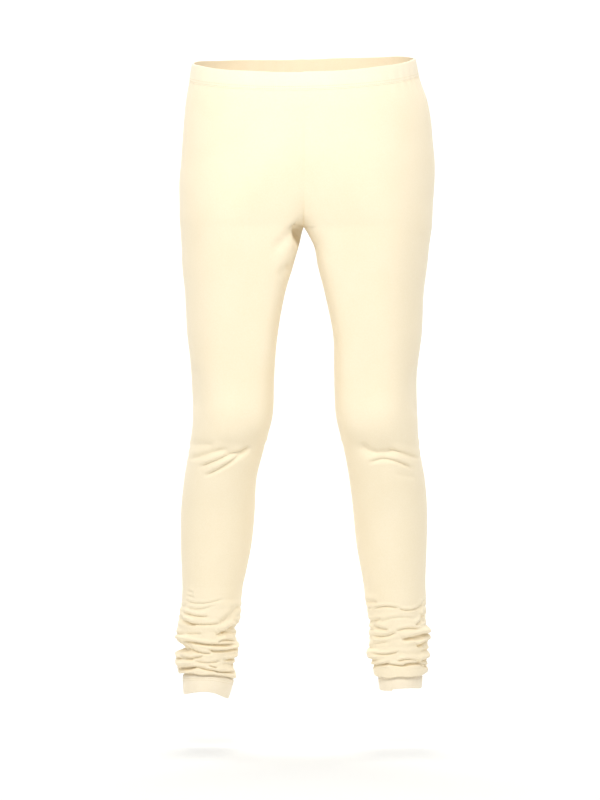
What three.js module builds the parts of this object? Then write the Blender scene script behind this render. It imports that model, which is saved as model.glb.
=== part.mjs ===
// Churidar leggings in knitted cotton, held open in the stance of a standing figure.
// Millimetres, +Z up, the front faces -Y and the garment's left side is +X.
// The origin is the centre of the waist opening.

import * as THREE from "three";

const seamGap = 0.3;
const legWall = 1.2;
const bandWall = 3;
const bandHeight = 26;
const bandProud = 0.6;
const hemWall = 2.2;
const hemHeight = 22;
const hemProud = 0.5;
const edgeRound = 0.7;
const crotchHeight = -237;
const crotchSide = seamGap / 2;
const evenColumns = -300;

// The waist edge dips at the front, rises at the back and sits a little higher on the left.
const waistSideTilt = 3.5;
const waistFrontToBack = 15;
const waistBow = 7;
const waistMean = 3.5;
const levelHeight = -115;

const legColumns = 24;
const torsoRows = 8;
const seamRowEasing = 1.6;
// Level rows below the crotch, close together where the columns ease from the seams to the inseam.
const tubeRows = [-246, -257, -269, -283, -300, -338, -385, -432, -478, -512, -540, -568, -603, -653, -703, -735];

const clothColor = "#fff3d8";
const hemColor = "#fff1d2";

// Horizontal sections of one side. Out and in are the reach from the centre plane, of the left and
// of the right leg; front, mid and back are along Y, and mid is the widest line. Above the crotch
// "in" passes the centre plane, where the centre seams cut the section. The power squares the
// quarter between the inner side and the front, where the cloth spans flat.
const sectionColumns = ["z", "leftOut", "leftIn", "rightOut", "rightIn", "front", "mid", "back", "power"];
const sections = [
  [20, 158, -158, 157, -157, -104, 0, 104, 2],
  [0, 163, -163, 162, -162, -107, 0, 107, 2],
  [-25, 168, -168, 166, -166, -111, 2, 112, 2],
  [-53, 178, -178, 171, -171, -114, 4, 119, 2],
  [-83, 184, -172, 174, -164, -114, 6, 127, 2],
  [-113, 187, -152, 176, -144, -113, 8, 134, 2.2],
  [-143, 190, -122, 178, -114, -111, 10, 138, 2.6],
  [-173, 190, -82, 181, -76, -107, 11, 138, 3.4],
  [-203, 188, -37, 181, -32, -102, 11, 132, 4.9],
  [-223, 187, -12.5, 181, -10.5, -98, 10, 124, 6.3],
  [crotchHeight, 186, crotchSide, 180, crotchSide, -95, 9, 117, 7],
  [-263, 182, 14.5, 178, 7, -92, 6, 103, 7],
  [-293, 179, 20, 177, 16, -88, 3, 93, 6.4],
  [-333, 174, 30, 173, 28, -83, 0, 84, 5.7],
  [-393, 171, 42, 170, 38, -78, -3, 74, 5],
  [-453, 166, 44, 167, 43, -75, -7, 62, 4.2],
  [-508, 166, 46, 163, 45, -76, -12, 50, 3.4],
  [-540, 167, 53, 165, 53, -73.5, -12, 46, 2.9],
  [-568, 170, 60, 169, 61, -66, -8, 49, 2.6],
  [-603, 176, 66, 175, 69, -59, -1, 58, 2.4],
  [-653, 180, 72, 180, 72, -50, 7, 65, 2.2],
  [-703, 180, 77, 180, 77, -46, 7, 60, 2],
  [-753, 178, 86, 178, 86, -44, 3, 49, 2],
  [-793, 177, 92, 178, 92, -44, -1, 43, 2],
  [-853, 176, 100, 176, 102, -45, -3, 39, 2],
  [-893, 173, 109, 177, 102, -46, -4, 38, 2],
  [-935, 172, 111, 177, 112, -47, -4, 38, 2],
];

// Folds where the long narrow leg is pushed up at the ankle, from the top down.
// Each row is the trough below one roll: its height at four sides, then the roll's bulge there.
const leftGathers = [
  { outer: -765, front: -760, inner: -766, back: -763, bulge: { outer: 0.5, front: 0.5, inner: 0.5, back: 0.5 } },
  { outer: -786, front: -788, inner: -790, back: -784, bulge: { outer: 1.5, front: 1.5, inner: 2, back: 2 } },
  { outer: -802, front: -806, inner: -815, back: -803, bulge: { outer: 2, front: 3, inner: 2, back: 3 } },
  { outer: -816, front: -821, inner: -829, back: -820, bulge: { outer: 3, front: 4, inner: 3.5, back: 5 } },
  { outer: -829, front: -833, inner: -840, back: -834, bulge: { outer: 8, front: 3, inner: 3, back: 4 } },
  { outer: -843, front: -844, inner: -849, back: -846, bulge: { outer: 6, front: 4, inner: 4, back: 7 } },
  { outer: -855, front: -854, inner: -860, back: -858, bulge: { outer: 8, front: 5, inner: 7, back: 5 } },
  { outer: -870, front: -866, inner: -873, back: -872, bulge: { outer: 6, front: 5, inner: 3, back: 6 } },
  { outer: -884, front: -882, inner: -888, back: -886, bulge: { outer: 5, front: 4, inner: 3, back: 4 } },
];
const rightGathers = [
  { outer: -765, front: -757, inner: -759, back: -762, bulge: { outer: 0.5, front: 0.5, inner: 0.5, back: 0.5 } },
  { outer: -786, front: -777, inner: -779, back: -784, bulge: { outer: 1.5, front: 1.5, inner: 1.5, back: 2 } },
  { outer: -799, front: -789, inner: -790, back: -798, bulge: { outer: 2, front: 2, inner: 2, back: 3 } },
  { outer: -811, front: -808, inner: -803, back: -812, bulge: { outer: 4, front: 4, inner: 3, back: 4 } },
  { outer: -828, front: -824, inner: -820, back: -828, bulge: { outer: 6, front: 3, inner: 3, back: 6 } },
  { outer: -841, front: -836, inner: -839, back: -842, bulge: { outer: 10, front: 4, inner: 2, back: 5 } },
  { outer: -853, front: -851, inner: -853, back: -855, bulge: { outer: 3, front: 4, inner: 7, back: 7 } },
  { outer: -866, front: -864, inner: -867, back: -868, bulge: { outer: 11, front: 5, inner: 5, back: 5 } },
  { outer: -881, front: -876, inner: -884, back: -883, bulge: { outer: 8, front: 5, inner: 2, back: 6 } },
  { outer: -896, front: -886, inner: -901, back: -899, bulge: { outer: 4, front: 4, inner: 2, back: 4 } },
];

// One smooth curve through each column of the section table, for one side.
function sectionCurves(side) {
  const rows = [...sections].reverse();
  const names = [side + "Out", side + "In", "front", "mid", "back", "power"];
  const columns = names.map((name) => sectionColumns.indexOf(name));
  const heights = rows.map((row) => row[0]);
  const values = rows.flatMap((row) => columns.map((column) => row[column]));
  return new THREE.CubicInterpolant(heights, values, names.length);
}

// A leg is its curves, its gathers and the side that it is mirrored to.
const leftLeg = { name: "left_leg", hem: "left_hem", mirror: 1, curves: sectionCurves("left"), gathers: leftGathers };
const rightLeg = { name: "right_leg", hem: "right_hem", mirror: -1, curves: sectionCurves("right"), gathers: rightGathers };

// The value at an angle of four given at the inner side (0), front, outer side and back.
function around(four, angle) {
  const mean = (four.inner + four.outer + four.front + four.back) / 4;
  const sideways = (four.inner - four.outer) / 2;
  const lengthways = (four.front - four.back) / 2;
  const cross = (four.inner + four.outer - four.front - four.back) / 4;
  return mean + sideways * Math.cos(angle) + lengthways * Math.sin(angle) + cross * Math.cos(2 * angle);
}

// A point of the cloth's outer face: two half-ellipses that meet on the widest line, with the inner quarter
// of the front as a superellipse of the section's power. It is pushed out along the ellipse's normal.
function facePoint(leg, angle, height, push) {
  const [out, inner, front, mid, back, squareness] = leg.curves.evaluate(height);
  const across = Math.cos(angle);
  const forward = Math.sin(angle);
  const power = across > 0 && forward > 0 ? squareness : 2;
  const reach = (Math.abs(across) ** power + Math.abs(forward) ** power) ** (-1 / power);
  const halfWidth = (out - inner) / 2;
  const halfDepth = forward > 0 ? mid - front : back - mid;
  const normal = new THREE.Vector2(-halfDepth * across, -halfWidth * forward).normalize();
  const x = (out + inner) / 2 - halfWidth * reach * across + push * normal.x;
  const y = mid - halfDepth * reach * forward + push * normal.y;
  return new THREE.Vector3(x, y, height);
}

// The angle from the inner side at which a section meets the centre front or the centre back seam.
function seamAngle(leg, height, atFront) {
  const [out, inner, , , , squareness] = leg.curves.evaluate(height);
  const share = THREE.MathUtils.clamp(((out + inner) / 2 - crotchSide) / ((out - inner) / 2), 0, 1);
  const power = atFront ? squareness : 2;
  return Math.atan2((1 - share ** power) ** (1 / power), share);
}

// The waist edge's height over the origin, at an angle of one side.
function waistEdge(leg, angle) {
  const sideways = -Math.cos(angle) * leg.mirror;
  const backwards = -Math.sin(angle);
  return waistMean + waistSideTilt * sideways + waistFrontToBack * backwards - waistBow * backwards ** 2;
}

// A torso row follows the waist edge at the top and is level from levelHeight down.
function torsoRow(leg, base) {
  const top = -bandHeight - seamGap;
  const share = THREE.MathUtils.smoothstep(base, levelHeight, top);
  return {
    height: (angle) => base + share * waistEdge(leg, angle),
    bulge: () => 0,
  };
}

function levelRow(base) {
  return {
    height: () => base,
    bulge: () => 0,
  };
}

function troughRow(trough, lift) {
  return {
    height: (angle) => around(trough, angle) + lift,
    bulge: () => 0,
  };
}

// The crest of a roll is midway between the trough above it and its own.
function crestRow(above, trough) {
  return {
    height: (angle) => (around(above, angle) + around(trough, angle)) / 2,
    bulge: (angle) => around(trough.bulge, angle),
  };
}

// The rows of a leg from the waistband's seam to the hem's, closer together near the crotch.
function legRows(leg) {
  const rows = [];
  const torsoHeight = -bandHeight - seamGap - crotchHeight;
  for (let i = torsoRows; i > 0; i--) {
    rows.push(torsoRow(leg, crotchHeight + torsoHeight * (i / torsoRows) ** seamRowEasing));
  }
  const crotchRow = rows.length;
  for (const height of [crotchHeight, ...tubeRows]) {
    rows.push(levelRow(height));
  }
  leg.gathers.forEach((trough, i) => {
    if (i > 0) {
      rows.push(crestRow(leg.gathers[i - 1], trough));
    }
    const last = i === leg.gathers.length - 1;
    rows.push(troughRow(trough, last ? seamGap : 0));
  });
  return { rows, crotchRow };
}

// Adds the two triangles of the quad a, b, c, d, given anticlockwise from outside.
function addQuad(index, a, b, c, d) {
  index.push(a, b, c, a, c, d);
}

function mirrored(geometry, mirror) {
  if (mirror < 0) {
    geometry.scale(-1, 1, 1);
    const order = geometry.index.array;
    for (let i = 0; i < order.length; i += 3) {
      [order[i + 1], order[i + 2]] = [order[i + 2], order[i + 1]];
    }
  }
  geometry.computeVertexNormals();
  return geometry;
}

// The angle of column c in row r: even between the centre seams above the crotch. Below it column 0 is
// the inseam, and the others are carried on from the seams and ease to an even spread round the tube.
function columnAngle(leg, rows, r, crotchRow, c) {
  const seamRow = rows[Math.min(r, crotchRow - 1)];
  const start = seamAngle(leg, seamRow.height(Math.PI / 2), true);
  const end = 2 * Math.PI - seamAngle(leg, seamRow.height(-Math.PI / 2), false);
  if (r < crotchRow) {
    return start + ((end - start) * c) / legColumns;
  }
  if (c === 0) {
    return 0;
  }
  const even = (2 * Math.PI * c) / legColumns;
  const carried = start + ((end - start) * (c - 1)) / (legColumns - 1);
  const share = THREE.MathUtils.smoothstep(rows[r].height(0), evenColumns, crotchHeight);
  return even + (carried - even) * share;
}

// A leg with its half of the seat: a sheet split along the centre plane above the crotch and closed
// into a tube below it, given its wall by a second sheet set in along the vertex normals.
function legGeometry(leg) {
  const { rows, crotchRow } = legRows(leg);
  const points = [];
  const ids = rows.map((row, r) => {
    const open = r < crotchRow;
    const line = [];
    for (let c = 0; c <= legColumns; c++) {
      if (c === legColumns && !open) {
        line.push(line[0]);
        break;
      }
      const angle = columnAngle(leg, rows, r, crotchRow, c);
      const point = facePoint(leg, angle, row.height(angle), row.bulge(angle));
      const onSeam = open && (c === 0 || c === legColumns);
      point.x = onSeam ? crotchSide : Math.max(point.x, crotchSide);
      line.push(points.length);
      points.push(point);
    }
    return line;
  });

  const sheetIndex = [];
  for (let r = 0; r + 1 < ids.length; r++) {
    for (let c = 0; c < legColumns; c++) {
      addQuad(sheetIndex, ids[r][c], ids[r + 1][c], ids[r + 1][c + 1], ids[r][c + 1]);
    }
  }
  const sheet = new THREE.BufferGeometry().setFromPoints(points);
  sheet.setIndex(sheetIndex);
  sheet.computeVertexNormals();

  const count = points.length;
  const normals = sheet.getAttribute("normal");
  const inside = points.map((point, i) => {
    const moved = point.clone().addScaledVector(new THREE.Vector3().fromBufferAttribute(normals, i), -legWall);
    moved.x = Math.max(moved.x, crotchSide);
    return moved;
  });

  const index = [...sheetIndex];
  for (let i = 0; i < sheetIndex.length; i += 3) {
    index.push(sheetIndex[i] + count, sheetIndex[i + 2] + count, sheetIndex[i + 1] + count);
  }
  const last = ids.length - 1;
  for (let c = 0; c < legColumns; c++) {
    addQuad(index, ids[0][c], ids[0][c + 1], ids[0][c + 1] + count, ids[0][c] + count);
    addQuad(index, ids[last][c + 1], ids[last][c], ids[last][c] + count, ids[last][c + 1] + count);
  }
  for (let r = 0; r < crotchRow; r++) {
    const c = legColumns;
    addQuad(index, ids[r + 1][0], ids[r][0], ids[r][0] + count, ids[r + 1][0] + count);
    addQuad(index, ids[r][c], ids[r + 1][c], ids[r + 1][c] + count, ids[r][c] + count);
  }
  const geometry = new THREE.BufferGeometry().setFromPoints([...points, ...inside]);
  geometry.setIndex(index);
  return mirrored(geometry, leg.mirror);
}

// The outline of a band's wall as steps out from the cloth's face and down from its top edge.
function bandOutline(wall, height, proud) {
  const inner = proud - wall;
  return [
    { out: proud, down: height - edgeRound },
    { out: proud, down: edgeRound },
    { out: proud - edgeRound, down: 0 },
    { out: inner + edgeRound, down: 0 },
    { out: inner, down: edgeRound },
    { out: inner, down: height - edgeRound },
    { out: inner + edgeRound, down: height },
    { out: proud - edgeRound, down: height },
  ];
}

// A closed ring of a band's outline, with one station for each angle.
function ringGeometry(stations, outline, pointAt) {
  const points = stations.flatMap((station) => outline.map((corner) => pointAt(station, corner)));
  const index = [];
  const n = outline.length;
  for (let s = 0; s < stations.length; s++) {
    const next = (s + 1) % stations.length;
    for (let i = 0; i < n; i++) {
      const j = (i + 1) % n;
      addQuad(index, s * n + i, next * n + i, next * n + j, s * n + j);
    }
  }
  const geometry = new THREE.BufferGeometry().setFromPoints(points);
  geometry.setIndex(index);
  return geometry;
}

// The waistband runs from the centre front round the left side to the back, and home round the right.
function waistbandGeometry() {
  const stations = [];
  for (let i = 0; i < legColumns; i++) {
    stations.push({ leg: leftLeg, angle: Math.PI / 2 + (Math.PI * i) / legColumns });
  }
  for (let i = 0; i < legColumns; i++) {
    stations.push({ leg: rightLeg, angle: (3 * Math.PI) / 2 - (Math.PI * i) / legColumns });
  }
  const outline = bandOutline(bandWall, bandHeight, bandProud);
  const geometry = ringGeometry(stations, outline, ({ leg, angle }, { out, down }) => {
    const point = facePoint(leg, angle, waistEdge(leg, angle) - down, out);
    point.x *= leg.mirror;
    return point;
  });
  geometry.computeVertexNormals();
  return geometry;
}

// A hem is the leg's end turned up inside, two layers thick, below the last trough.
function hemGeometry(leg) {
  const stations = [];
  for (let i = 0; i < legColumns; i++) {
    stations.push((2 * Math.PI * i) / legColumns);
  }
  const top = leg.gathers[leg.gathers.length - 1];
  const outline = bandOutline(hemWall, hemHeight, hemProud);
  const geometry = ringGeometry(stations, outline, (angle, { out, down }) =>
    facePoint(leg, angle, around(top, angle) - down, out),
  );
  return mirrored(geometry, leg.mirror);
}

function clothMesh(name, geometry, color) {
  const mesh = new THREE.Mesh(geometry, new THREE.MeshStandardMaterial({ color, roughness: 0.92, metalness: 0 }));
  mesh.name = name;
  return mesh;
}

const leggings = new THREE.Group();
leggings.add(clothMesh("waistband", waistbandGeometry(), clothColor));
for (const leg of [leftLeg, rightLeg]) {
  leggings.add(clothMesh(leg.name, legGeometry(leg), clothColor));
  leggings.add(clothMesh(leg.hem, hemGeometry(leg), hemColor));
}

export default leggings;
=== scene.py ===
# Churidar leggings in cream cotton jersey, standing as worn, held open at the waist and the hems.
from math import pi, radians

import bpy
import numpy as np
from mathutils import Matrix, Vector


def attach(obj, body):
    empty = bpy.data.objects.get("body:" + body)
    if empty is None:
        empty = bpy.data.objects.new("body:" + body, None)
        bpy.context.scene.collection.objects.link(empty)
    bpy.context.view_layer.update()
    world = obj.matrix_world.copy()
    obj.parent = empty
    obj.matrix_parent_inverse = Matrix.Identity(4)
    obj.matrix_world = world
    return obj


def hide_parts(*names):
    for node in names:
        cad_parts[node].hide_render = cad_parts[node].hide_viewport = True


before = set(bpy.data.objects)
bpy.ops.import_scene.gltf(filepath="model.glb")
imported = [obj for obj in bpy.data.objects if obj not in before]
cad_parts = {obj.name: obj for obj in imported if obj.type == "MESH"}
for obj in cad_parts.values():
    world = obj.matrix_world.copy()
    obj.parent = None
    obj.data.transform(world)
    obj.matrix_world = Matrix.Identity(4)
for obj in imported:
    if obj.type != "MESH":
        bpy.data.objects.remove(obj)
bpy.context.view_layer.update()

mm = 0.001

# In metres and degrees, and the lens in mm.
camera = {"distance": 4.003, "height": -0.228, "across": -0.0058, "tilt": 3.719, "lens": 123.9}

# Sizes are in mm in the garment's frame: +Z up, the front faces -Y, the origin at the waist opening.
cut = {
    "crotch": -237.0,
    "seamGap": 0.3,
    "bandHeight": 26.0,
    "clothThick": 1.1,
    "waistSideTilt": 3.5,     # the waist edge is higher on the left
    "waistFrontToBack": 15.0,
    "waistBow": 7.0,
    "waistMean": 3.5,
    "levelHeight": -115.0,    # the rows are level from here down
    "gatherTop": -742.0,
    "gatherWander": 0.9,      # how far a trough's height wanders round the ankle
    "puckerWaves": 22,        # half as many as the folds that the elastic draws up round the waist
    "puckerOnBand": 0.35,
    "puckerBelow": 0.45,
    "puckerFade": 9,          # they fade over this far below the band
}

# Level sections of one side, as the reach from the centre plane, and front, widest line and back along Y.
# Above the crotch the inner reach passes the centre plane, where the centre seams cut the section. The
# power squares the quarter between the inner side and the front, where the cloth spans flat.
sections = np.array([
    # z, leftOut, leftIn, rightOut, rightIn, front, mid, back, power
    (20, 158, -158, 157, -157, -104, 0, 104, 2),
    (0, 163, -163, 162, -162, -107, 0, 107, 2),
    (-25, 168, -168, 166, -166, -111, 2, 112, 2),
    (-53, 178, -178, 171, -171, -114, 4, 119, 2),
    (-83, 184, -172, 174, -164, -114, 6, 127, 2),
    (-113, 187, -152, 176, -144, -113, 8, 134, 2.2),
    (-143, 190, -122, 178, -114, -111, 10, 138, 2.6),
    (-173, 190, -82, 181, -76, -107, 11, 138, 3.4),
    (-203, 188, -37, 181, -32, -102, 11, 132, 4.9),
    (-223, 187, -12.5, 181, -10.5, -98, 10, 124, 6.3),
    (-237, 186, 0.15, 180, 0.15, -95, 9, 117, 7),
    (-263, 182, 14.5, 178, 7, -92, 6, 103, 7),
    (-293, 179, 20, 177, 16, -88, 3, 93, 6.4),
    (-333, 174, 30, 173, 28, -83, 0, 84, 5.7),
    (-393, 171, 42, 170, 38, -78, -3, 74, 5),
    (-453, 166, 44, 167, 43, -75, -7, 62, 4.2),
    (-508, 166, 46, 163, 45, -76, -12, 50, 3.4),
    (-540, 167, 53, 165, 53, -73.5, -12, 46, 2.9),
    (-568, 170, 60, 169, 61, -66, -8, 49, 2.6),
    (-603, 176, 66, 175, 69, -59, -1, 58, 2.4),
    (-653, 180, 72, 180, 72, -50, 7, 65, 2.2),
    (-703, 180, 77, 180, 77, -46, 7, 60, 2),
    (-753, 178, 86, 178, 86, -44, 3, 49, 2),
    (-793, 177, 92, 178, 92, -44, -1, 43, 2),
    (-853, 176, 100, 176, 102, -45, -3, 39, 2),
    (-893, 173, 109, 177, 102, -46, -4, 38, 2),
    (-935, 172, 111, 177, 112, -47, -4, 38, 2),
], dtype=float)
frontColumn, midColumn, backColumn, powerColumn = 5, 6, 7, 8

# Small rolls of the gathered ankles from the top down, each by the trough below it: the trough's
# height at four sides and the roll's bulge at the same four.
leftGathers = [
    # outer, front, inner, back, bulge outer, front, inner, back
    (-765, -760, -766, -763, 0.2, 0.2, 0.2, 0.3),
    (-786, -788, -790, -784, 0.6, 0.5, 0.6, 1.5),
    (-802, -806, -815, -803, 1.0, 0.6, 0.8, 2.5),
    (-816, -821, -829, -820, 1.2, 0.8, 1.0, 3.5),
    (-829, -833, -840, -834, 1.6, 0.6, 1.0, 3.5),
    (-843, -844, -849, -846, 1.6, 0.6, 1.0, 5.0),
    (-855, -854, -860, -858, 1.6, 0.8, 1.2, 4.5),
    (-871, -870, -869, -872, 1.6, 1.2, 1.2, 5.0),
]
rightGathers = [
    (-765, -757, -759, -762, 0.2, 0.2, 0.2, 0.3),
    (-786, -777, -779, -784, 0.6, 0.4, 0.6, 1.5),
    (-799, -789, -790, -798, 0.9, 0.5, 0.8, 2.5),
    (-811, -808, -803, -812, 1.2, 0.8, 1.0, 3.5),
    (-828, -824, -820, -828, 1.2, 0.7, 1.2, 5.0),
    (-841, -837, -839, -842, 1.4, 1.0, 1.2, 4.0),
    (-853, -851, -853, -855, 0.6, 0.8, 1.2, 5.5),
    (-864, -864, -867, -868, 1.2, 1.0, 1.2, 4.5),
    (-876, -877, -881, -882, 1.6, 1.2, 1.0, 5.0),
]

# The last roll hangs over the hem: its top, its low edge, how far it stands off, the hem's top
# under it and the hem's free edge, each at the outer side, front, inner side and back. From its inner
# side to a step in the front, the hem's free edge hangs lower by the step.
leftCuff = {
    "low": (-887.5, -888.5, -891, -890),
    "bulge": (5.0, 3.0, 5.0, 4.0),
    "hemTop": (-878, -877, -882, -880),
    "hemEdge": (-909, -905, -911, -908),
    "step": 2.2,
}
rightCuff = {
    "low": (-889, -884.5, -896, -897),
    "bulge": (4.0, 2.2, 2.6, 3.6),
    "hemTop": (-886, -880, -890, -889),
    "hemEdge": (-920, -910, -926, -918),
    "step": 0.0,
}

# How the outline stands off the plain leg at its outer and inner sides: a hollow above the knee and
# the steps of the gathered ankle.
leftOutline = np.array([
    # z, outer, inner
    (-380, 0.0, 0.0),
    (-440, -1.8, 0.0),
    (-510, -0.8, 0.0),
    (-565, 0.0, 0.0),
    (-742, 0.0, 0.0),
    (-782, 1.4, -0.4),
    (-800, 0.9, -1.2),
    (-813, 1.2, -2.8),
    (-818, 2.2, -2.2),
    (-822, 5.4, -2.0),
    (-826, 6.8, -1.2),
    (-830, 7.0, 0.0),
    (-835, 6.4, 0.5),
    (-839, 5.0, 0.8),
    (-843, 3.2, 1.5),
    (-848, 3.6, 3.0),
    (-852, 4.4, 5.5),
    (-858, 5.4, 8.0),
    (-862, 5.8, 7.4),
    (-866, 3.8, 4.0),
    (-870, 2.6, 2.4),
    (-875, 2.6, 0.2),
    (-885, 2.6, 1.0),
    (-900, 0.0, 0.0),
], dtype=float)
rightOutline = np.array([
    (-380, 0.0, 0.0),
    (-440, -3.2, 0.0),
    (-520, -1.8, 0.0),
    (-570, 0.0, 0.0),
    (-742, 0.0, -0.6),
    (-768, 0.0, -2.2),
    (-782, 0.4, -1.2),
    (-791, 1.5, -0.4),
    (-800, 3.4, 0.2),
    (-808, 5.6, 0.3),
    (-813, 6.2, 0.4),
    (-817, 6.6, -3.4),
    (-826, 8.6, -3.2),
    (-835, 10.6, -1.2),
    (-839, 10.4, 0.8),
    (-843, 5.0, 2.6),
    (-847, -1.6, 4.6),
    (-851, -3.6, 5.6),
    (-856, 5.8, 5.0),
    (-861, 11.0, 3.4),
    (-865, 10.4, 0.4),
    (-870, 9.4, -1.6),
    (-876, 7.0, -3.0),
    (-883, 4.4, -2.6),
    (-891, 0.5, -1.0),
    (-900, 0.0, 0.0),
], dtype=float)

# Creases laid on one side of a leg, in the plane of that view: each is a curve through three
# points (reach from the centre plane, height), its depth, its half width and its lip.
leftFrontCreases = [
    # startX, startZ, middleX, middleZ, endX, endZ, depth, width, lip
    (26, -248, 25, -262, 27, -280, 1.2, 6.0, 0.3),
    (20, -292, 31, -295, 43, -297, 0.8, 3.0, 0.5),
    (166, -430, 160, -476, 168, -508, 3.0, 12.0, 0.2),
    (79, -545, 102, -561, 136, -555, 4.2, 6.4, 0.1),
    (120, -555, 142, -560, 170, -568.5, 3.0, 3.2, 0.3),
    (91, -577, 122, -570, 162, -585.5, 3.2, 2.5, 0.35),
    (130, -590, 146, -594, 164, -596, 1.0, 4.0, 0.4),
    (86, -777, 96, -778, 107, -779, 2.2, 3.0, 0.5),
    (100, -789, 118, -785, 138, -788, 2.6, 1.6, 0.5),
    (136, -788, 152, -790.5, 169, -785.5, 2.8, 1.5, 0.5),
    (164, -787, 171, -783, 175, -773, 2.3, 2.0, 0.5),
    (142, -796, 152, -795, 163, -795, 0.7, 1.6, 0.5),
    (101, -806, 106, -805, 113, -802, 2.0, 2.2, 0.5),
    (109, -809, 132, -802, 163, -802, 1.4, 2.2, 0.5),
    (160, -813, 170, -804, 175, -789, 3.5, 2.0, 0.6),
    (99, -813, 110, -817, 123, -819, 2.9, 2.4, 0.6),
    (97, -826, 117, -828.5, 137, -821, 2.9, 2.2, 0.6),
    (133, -822, 150, -817, 170, -819.5, 2.5, 1.8, 0.6),
    (140, -834, 163, -828, 187, -820, 6.1, 3.0, 0.6),
    (155, -832.5, 166, -831.5, 178, -828, 2.3, 2.0, 0.4),
    (163, -843, 169, -838.5, 176, -832, 4.6, 1.8, 0.7),
    (170, -840, 172, -845, 172, -850, 2.3, 1.6, 0.5),
    (97, -843, 108, -839, 123, -837, 1.7, 2.4, 0.5),
    (102, -850, 119, -854.5, 140, -849, 2.8, 1.4, 0.6),
    (95, -862, 107, -869, 129, -864.5, 4.6, 1.9, 0.7),
    (134, -866, 152, -862, 168, -865, 3.8, 1.7, 0.6),
    (162, -865.5, 171, -863, 184, -854, 5.5, 2.3, 0.5),
    (110, -868, 130, -870, 147, -872, 3.2, 1.5, 0.6),
    (142, -872, 158, -867.5, 181, -872, 4.9, 2.0, 0.7),
    (108, -874, 122, -873.5, 138, -876, 0.7, 1.2, 0.5),
]
rightFrontCreases = [
    (4, -230, 25, -250, 46, -273, 5.0, 5.4, 0.05),
    (8, -282, 22, -292, 40, -303, 4.0, 3.2, 0.3),
    (166, -430, 158, -470, 164, -500, 3.2, 12.0, 0.2),
    (168, -547, 150, -547, 128, -550, 1.6, 5.0, 0.2),
    (168, -569, 141, -562, 108, -554, 2.6, 3.6, 0.25),
    (155, -583, 118, -568, 76, -555, 3.2, 2.5, 0.35),
    (146, -595, 110, -576, 72, -550, 3.6, 2.6, 0.35),
    (120, -558, 97, -560, 74, -550, 3.2, 6.0, 0.0),
    (170, -762, 165, -764, 160, -765, 0.9, 1.6, 0.5),
    (171, -768, 165, -770, 159, -772, 1.0, 1.6, 0.5),
    (174, -775, 148, -781, 114, -773, 1.7, 1.7, 0.5),
    (174, -785, 150, -789, 124, -780, 1.3, 1.8, 0.5),
    (178, -790, 160, -798, 134, -799.5, 2.9, 2.0, 0.6),
    (181, -793, 170, -806, 155, -811, 4.1, 2.6, 0.6),
    (170, -808, 145, -811.5, 118, -809, 2.6, 1.8, 0.6),
    (124, -811, 109, -799, 92, -781, 2.6, 3.6, 0.5),
    (170, -825, 159, -825, 147, -825.5, 1.6, 2.2, 0.5),
    (129, -828, 113, -820, 94, -810, 4.6, 3.2, 0.6),
    (121, -822, 109, -822.5, 94, -824, 3.2, 2.2, 0.5),
    (186, -826, 146, -839.5, 94, -838.5, 5.2, 1.9, 0.7),
    (126, -838, 115, -834, 97, -836, 3.2, 1.5, 0.6),
    (177, -833, 171, -840, 166, -850, 3.5, 1.8, 0.5),
    (176, -834, 167, -838, 160, -845, 2.6, 1.5, 0.5),
    (168, -843, 151, -852, 130, -852.5, 3.2, 1.8, 0.6),
    (140, -847, 120, -849.5, 93, -843, 4.3, 1.7, 0.6),
    (180, -850, 163, -859, 142, -855, 3.8, 1.6, 0.6),
    (190, -857, 172, -860, 157, -862, 4.1, 1.8, 0.6),
    (161, -863, 140, -867, 120, -863.5, 2.3, 1.6, 0.6),
    (119, -862, 107, -861, 93, -854, 4.1, 1.8, 0.6),
    (119, -869, 110, -868, 97, -868.5, 2.2, 2.2, 0.5),
    (170, -869, 161, -868, 150, -870, 1.4, 1.1, 0.5),
    (190, -876, 172, -875, 155, -872.5, 7.5, 2.7, 0.6),
    (162, -872.5, 152, -873, 142, -874, 2.9, 1.4, 0.6),
    (152, -874, 138, -877.5, 122, -880, 2.9, 1.4, 0.6),
    (130, -880, 115, -881, 97, -880, 4.3, 1.9, 0.6),
    (139, -870, 133, -872.5, 125, -875, 2.6, 1.2, 0.6),
]
leftBackCreases = [
    (12, -262, 70, -266, 138, -246, 1.6, 6.0, 0.3),
    (5, -214, 26, -199, 58, -190, 0.8, 5.0, 0.4),
    (60, -532, 104, -540, 158, -531, 3.0, 3.0, 0.6),
    (66, -549, 100, -556, 140, -551, 2.5, 2.6, 0.6),
    (100, -570, 126, -569, 160, -578, 1.5, 3.2, 0.5),
    (92, -776, 130, -783, 172, -775, 1.7, 2.0, 0.5),
    (98, -800, 138, -795, 176, -804, 2.6, 1.9, 0.6),
    (120, -812, 146, -815, 178, -809, 2.9, 1.8, 0.6),
    (97, -823, 128, -831, 160, -827, 4.1, 1.9, 0.6),
    (140, -841, 164, -838, 184, -843, 3.8, 1.8, 0.6),
    (100, -846, 132, -851, 158, -849, 4.1, 1.8, 0.6),
    (104, -862, 140, -860, 180, -866, 4.3, 1.9, 0.6),
]
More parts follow.
